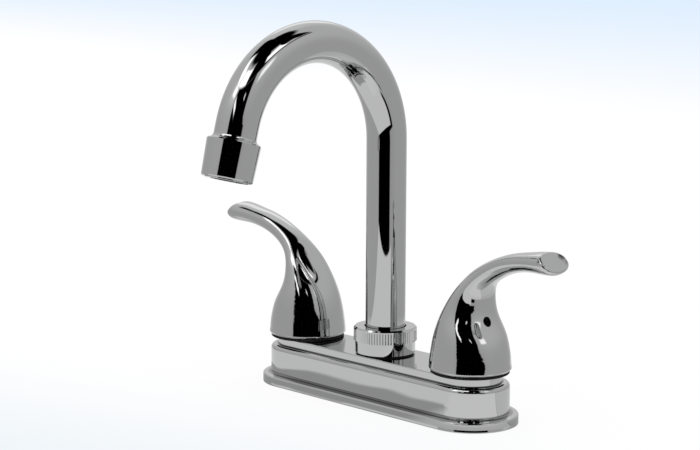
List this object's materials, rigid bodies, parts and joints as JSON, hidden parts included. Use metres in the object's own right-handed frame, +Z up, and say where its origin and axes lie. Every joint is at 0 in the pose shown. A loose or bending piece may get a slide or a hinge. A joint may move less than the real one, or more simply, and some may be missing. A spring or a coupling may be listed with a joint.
{
  "type": "basin mixer tap",
  "caption": "Basin mixer tap for a 4 inch deck: an oblong base with hot and cold lever handles and a swivelling gooseneck spout with an aerator.",
  "frame": {"origin": "centre of the base's flat underside, on the spout's vertical axis, where the tap rests on the deck", "axes": "+Z up out of the deck, +X from the spout towards the cold handle, -Y towards the user and the basin"},
  "size_m": [0.2075, 0.1257, 0.2156],
  "materials": {
    "chrome_plate": "polished chrome plate",
    "cast_brass": "machined, unplated",
    "copper_tube": "drawn tube",
    "plated_steel": "zinc plated",
    "black_steel": "black oxide",
    "steel_mesh": "woven mesh",
    "black_rubber": "moulded",
    "black_plastic": "moulded",
    "white_nylon": "moulded",
    "white_ceramic": "lapped ceramic"
  },
  "bodies": {
    "base": {"base_cover": "chrome_plate", "base_gasket": "black_rubber", "spout_hub": "cast_brass", "spout_ring_seal": "black_rubber", "spout_lock_ring": "chrome_plate", "spout_nut": "chrome_plate", "spout_thrust_washer": "white_nylon", "hot_valve_body": "cast_brass", "hot_cross_tube": "copper_tube", "hot_mounting_washer": "plated_steel", "hot_mounting_nut": "black_plastic", "hot_cartridge_housing": "cast_brass", "hot_seat_seal": "black_rubber", "hot_fixed_disc": "white_ceramic", "hot_lock_nut": "black_plastic", "cold_valve_body": "cast_brass", "cold_cross_tube": "copper_tube", "cold_mounting_washer": "plated_steel", "cold_mounting_nut": "black_plastic", "cold_cartridge_housing": "cast_brass", "cold_seat_seal": "black_rubber", "cold_fixed_disc": "white_ceramic", "cold_lock_nut": "black_plastic"},
    "spout": {"spout_tube": "chrome_plate", "spout_ferrule": "cast_brass", "spout_o_rings": "black_rubber", "tip_collar": "chrome_plate", "aerator_housing": "white_nylon", "aerator_screen": "steel_mesh", "aerator_flow_disc": "white_nylon", "aerator_washer": "black_rubber"},
    "hot_lever": {"hot_handle": "chrome_plate", "hot_set_screw": "black_steel", "hot_stem": "cast_brass", "hot_stem_o_ring": "black_rubber", "hot_stem_clip": "plated_steel", "hot_moving_disc": "white_ceramic"},
    "cold_lever": {"cold_handle": "chrome_plate", "cold_set_screw": "black_steel", "cold_stem": "cast_brass", "cold_stem_o_ring": "black_rubber", "cold_stem_clip": "plated_steel", "cold_moving_disc": "white_ceramic"}
  },
  "joints": [
    {"name": "spout_swivel", "type": "hinge", "parent": "base", "child": "spout", "pos_m": [0, 0, 0.03], "axis": [0, 0, 1], "continuous": true},
    {"name": "hot_lever_turn", "type": "hinge", "parent": "base", "child": "hot_lever", "pos_m": [-0.0508, 0, 0.03], "axis": [0, 0, 1], "range_deg": [0, 90]},
    {"name": "cold_lever_turn", "type": "hinge", "parent": "base", "child": "cold_lever", "pos_m": [0.0508, 0, 0.03], "axis": [0, 0, 1], "range_deg": [-90, 0]}
  ]
}
